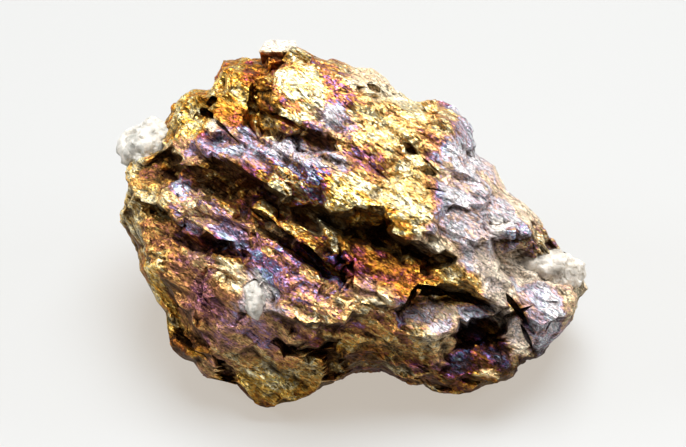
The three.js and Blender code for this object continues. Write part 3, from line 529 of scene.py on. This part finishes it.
def quartz_material(name, shade, light):
    """Milky vein quartz, broken: white inside from tiny bubbles, with a greasy surface."""
    material, tree = blank_material(name)
    place = add_node(tree, "ShaderNodeTexCoord").outputs["Object"]
    clouds = grained(tree, place, QUARTZ_CLOUD, Detail=6.0, Roughness=0.6)["Fac"]
    ramp = add_node(tree, "ShaderNodeValToRGB", Fac=clouds)
    fill_ramp(ramp, [(0.36, hex_linear(shade)), (0.62, hex_linear(light))])
    grit = grained(tree, place, QUARTZ_GRIT, Detail=4.0)["Fac"]
    bump = add_node(tree, "ShaderNodeBump", Height=grit, Distance=BUMP * MM, Strength=0.8)
    shader = add_node(
        tree, "ShaderNodeBsdfPrincipled", Base_Color=ramp.outputs["Color"], Roughness=0.45, IOR=QUARTZ_IOR,
        Subsurface_Weight=0.7, Subsurface_Radius=(1.0, 0.95, 0.9), Subsurface_Scale=1.2 * MM,
        Normal=bump.outputs["Normal"],
    )
    add_node(tree, "ShaderNodeOutputMaterial", Surface=shader.outputs["BSDF"])
    return material


def floor_material():
    material, tree = blank_material("opal acrylic sheet, lit from below")
    shader = add_node(
        tree, "ShaderNodeBsdfPrincipled", Base_Color=hex_linear("#6E7880"), Roughness=0.5,
        Emission_Color=hex_linear("#FFF3E4"), Emission_Strength=0.52,
    )
    add_node(tree, "ShaderNodeOutputMaterial", Surface=shader.outputs["BSDF"])
    return material


# ---- Pieces --------------------------------------------------------------------------------------


def copy_solid(node, name):
    """A bmesh of a node's solid with its triangles joined, and a new object for it."""
    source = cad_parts[node]
    work = bmesh.new()
    work.from_mesh(source.data)
    work.transform(source.matrix_world)
    bmesh.ops.remove_doubles(work, verts=work.verts, dist=WELD)
    mesh = bpy.data.meshes.new(name)
    piece = bpy.data.objects.new(name, mesh)
    bpy.context.collection.objects.link(piece)
    return work, piece


def remeshed(work, piece, voxel):
    """The bmesh's surface in even quads of about one voxel, split to triangles, as a new bmesh."""
    work.to_mesh(piece.data)
    work.free()
    remesh = piece.modifiers.new("even surface", "REMESH")
    remesh.mode = "VOXEL"
    remesh.voxel_size = voxel
    even = piece.evaluated_get(bpy.context.evaluated_depsgraph_get()).to_mesh()
    work = bmesh.new()
    work.from_mesh(even)
    piece.modifiers.remove(remesh)
    bmesh.ops.triangulate(work, faces=work.faces)
    return work


def is_long(edge):
    """Whether an edge of the ore above its seat is longer than the fineness of its side."""
    middle = (edge.verts[0].co + edge.verts[1].co) / 2
    longest = ORE_EDGE if to_face(middle).z > FACE_EDGE else ORE_EDGE_HIDDEN
    return edge.calc_length() > longest and middle.z > SEAT


def refined(work):
    """Split the long edges of the ore a few times over, so that its flat facets and sharp edges stay."""
    for _ in range(ORE_ROUNDS):
        long_edges = [edge for edge in work.edges if is_long(edge)]
        bmesh.ops.subdivide_edges(work, edges=long_edges, cuts=1, use_grid_fill=True)
        bmesh.ops.triangulate(work, faces=[face for face in work.faces if len(face.verts) > 3])


def softened(work, rounds):
    """Where each vertex would lie on a smoothed surface."""
    sharp = [vert.co.copy() for vert in work.verts]
    for _ in range(rounds):
        bmesh.ops.smooth_vert(
            work, verts=work.verts, factor=0.5, use_axis_x=True, use_axis_y=True, use_axis_z=True,
        )
    soft = [vert.co.copy() for vert in work.verts]
    for vert, place in zip(work.verts, sharp):
        vert.co = place
    return soft


ROOM_START = 0.02  # mm off the surface, so that a ray doesn't meet the faces it starts from
ROOM_REACH = 3.0  # mm
OPEN_ROOM = 1.0  # mm
ROOM_SHARE = 0.35  # of the way to the other wall


def room_before(tree, vert):
    """How far a vertex may move out, in mm, before it would meet the other wall of a crack."""
    start = vert.co + vert.normal * ROOM_START * MM
    distance = tree.ray_cast(start, vert.normal, ROOM_REACH * MM)[3]
    return OPEN_ROOM if distance is None else ROOM_SHARE * distance / MM


def crack_room(work):
    """Each vertex's room to move out, in mm: the least of its own and its neighbours', for even lips."""
    tree = BVHTree.FromBMesh(work)
    room = [room_before(tree, vert) for vert in work.verts]
    return [min(room[end.index] for edge in vert.link_edges for end in edge.verts) for vert in work.verts]


RISER_SHADE = 0.35  # painted shade that a riser, which looks down, carries
CHIP_PLAY = 0.9  # how closely the film follows each chip's own chance
HOLLOW_ROUNDS = 8  # of smoothing, against which hollows and ridges are told
RIDGE_WEAR = 0.1  # film worn off per mm that a spot stands out


def make_ore():
    work, piece = copy_solid("chalcopyrite_ore", "ore")
    refined(work)
    work.verts.index_update()
    work.normal_update()
    resting = {vert.index for vert in work.verts if vert.co.z < SEAT}
    values = []
    moves = []
    for vert, room in zip(work.verts, crack_room(work)):
        face_place = to_face(vert.co)
        place = along_strike(face_place)
        on_face = face_place.z > FACE_EDGE
        tarnish = tarnish_at(face_place, place) if on_face else back_tarnish(place)
        film, spread, soot_and_shade, pale_and_highlight, share = tarnish
        height = shade = luck = 0.0
        for layer in LEDGE_LAYERS:
            relief, riser = ledge_relief(place, layer)
            height += relief
            # Painted shade on the risers, which look down.
            shade += RISER_SHADE * riser
        for layer in CHIP_LAYERS:
            relief, chip_luck = chip_relief(place, layer)
            height += relief
            luck += chip_luck
        height *= share
        values.append([film + spread * CHIP_PLAY * luck, soot_and_shade + shade * share, pale_and_highlight, spread])
        moves.append(vert.normal * min(height, room) * MM)
    for vert, move in zip(work.verts, moves):
        vert.co += move
        vert.co.z = 0.0 if vert.index in resting else max(vert.co.z, 0.0)
    work.normal_update()
    for vert, place, value in zip(work.verts, softened(work, HOLLOW_ROUNDS), values):
        hollow = (place - vert.co).dot(vert.normal) / MM
        # Painted shade: darker in hollows, and where the surface is overhung or looks down.
        value[1] += HOLLOW_SHADE * hollow + OVERHANG_SHADE * max(0.0, OVERHANG - vert.normal.z)
        value[0] -= RIDGE_WEAR * max(0.0, -hollow)
    for face in work.faces:
        face.smooth = False
    work.to_mesh(piece.data)
    work.free()
    for index, name in enumerate(("film", "soot_and_shade", "pale_and_highlight", "play")):
        attribute = piece.data.attributes.new(name, "FLOAT", "POINT")
        attribute.data.foreach_set("value", [min(1.0, max(0.0, value[index])) for value in values])
    piece.data.materials.append(ore_material())
    return piece


QUARTZ_SWELL = 0.34  # mm, which closes the gap to the ore
QUARTZ_CHIPS = [
    Chips(cell=2.4, height=0.4, stretch=1.0, lean=2.0, seed=4.0),
    Chips(cell=0.9, height=0.15, stretch=1.0, lean=3.0, seed=9.0),
]


def make_quartz(node, name, material):
    work, piece = copy_solid(node, name)
    work = remeshed(work, piece, QUARTZ_VOXEL)
    work.normal_update()
    moves = []
    for vert in work.verts:
        place = vert.co / MM
        lumps = QUARTZ_SWELL + sum(chip_relief(place, layer)[0] for layer in QUARTZ_CHIPS)
        moves.append(vert.normal * lumps * MM)
    for vert, move in zip(work.verts, moves):
        vert.co += move
    work.to_mesh(piece.data)
    work.free()
    piece.data.materials.append(material)
    return piece


# ---- Stage ---------------------------------------------------------------------------------------


def make_floor():
    work = bmesh.new()
    bmesh.ops.create_grid(work, x_segments=1, y_segments=1, size=FLOOR_HALF)
    mesh = bpy.data.meshes.new("floor")
    work.to_mesh(mesh)
    work.free()
    floor = bpy.data.objects.new("floor", mesh)
    bpy.context.collection.objects.link(floor)
    mesh.materials.append(floor_material())


def make_camera():
    data = bpy.data.cameras.new("camera")
    data.lens = LENS_MM
    data.sensor_width = SENSOR_MM
    data.clip_start = CLIP_START
    camera = bpy.data.objects.new("camera", data)
    bpy.context.collection.objects.link(camera)
    distance = LENS_MM / SENSOR_MM * FRAME_WIDTH
    camera.location = from_face(*LOOK_AT) + FACE_OUT * distance
    camera.rotation_euler = (math.pi / 2 - FACE_LEAN, 0, 0)
    bpy.context.scene.camera = camera


def add_softbox(name, location, size, power, colour="#FFFFFF"):
    """A square area light that faces the specimen."""
    data = bpy.data.lights.new(name, "AREA")
    data.shape = "SQUARE"
    data.size = size
    data.energy = power
    data.color = hex_linear(colour)[:3]
    lamp = bpy.data.objects.new(name, data)
    bpy.context.collection.objects.link(lamp)
    lamp.location = location
    aim = LAMP_AIM - lamp.location
    lamp.rotation_euler = aim.to_track_quat("-Z", "Y").to_euler()


def overhead_dome():
    """A world that is bright overhead and behind the specimen, and dark on the camera's side."""
    world = bpy.data.worlds.new("studio")
    world.use_nodes = True
    tree = world.node_tree
    tree.nodes.clear()
    direction = add_node(tree, "ShaderNodeTexCoord").outputs["Generated"]
    height = add_node(tree, "ShaderNodeVectorMath", {"operation": "DOT_PRODUCT"}, i0=direction, i1=DOME_AXIS)
    ramp = add_node(tree, "ShaderNodeValToRGB", Fac=height.outputs["Value"])
    fill_ramp(ramp, [(position, (level, level, level, 1)) for position, level in DOME_RAMP])
    background = add_node(tree, "ShaderNodeBackground", Color=ramp.outputs["Color"], Strength=DOME_STRENGTH)
    add_node(tree, "ShaderNodeOutputWorld", Surface=background.outputs["Background"])
    return world


def light_studio():
    add_softbox("overhead softbox", Vector((0.08, 0.26, 0.88)), 0.6, 13.0)
    add_softbox("left softbox", Vector((-0.8, 0.1, 0.5)), 0.3, 3.5)
    add_softbox("right softbox", Vector((0.8, 0.15, 0.5)), 0.3, 2.5)
    bpy.context.scene.world = overhead_dome()
    bpy.context.scene.view_settings.view_transform = "Standard"


# ---- Assembly ------------------------------------------------------------------------------------

noise.seed_set(NOISE_SEED)
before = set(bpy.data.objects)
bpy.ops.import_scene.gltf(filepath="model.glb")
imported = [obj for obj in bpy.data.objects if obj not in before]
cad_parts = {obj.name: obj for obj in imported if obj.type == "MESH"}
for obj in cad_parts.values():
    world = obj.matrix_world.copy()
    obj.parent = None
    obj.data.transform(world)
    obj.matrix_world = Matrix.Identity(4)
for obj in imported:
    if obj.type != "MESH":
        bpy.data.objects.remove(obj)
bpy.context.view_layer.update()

make_camera()
make_floor()
light_studio()

ore = make_ore()
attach(ore, "root")
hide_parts("chalcopyrite_ore")

milky_quartz = quartz_material("milky quartz, broken", "#A6A49C", "#E8E2D8")
stained_quartz = quartz_material("milky quartz, stained by the ore", "#A8A094", "#EAE2D6")
for node, quartz in (
    ("quartz_lump", milky_quartz),
    ("quartz_saddle", stained_quartz),
    ("quartz_grain", milky_quartz),
):
    grain = make_quartz(node, node + "_grown", quartz)
    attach(grain, "root")
    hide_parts(node)
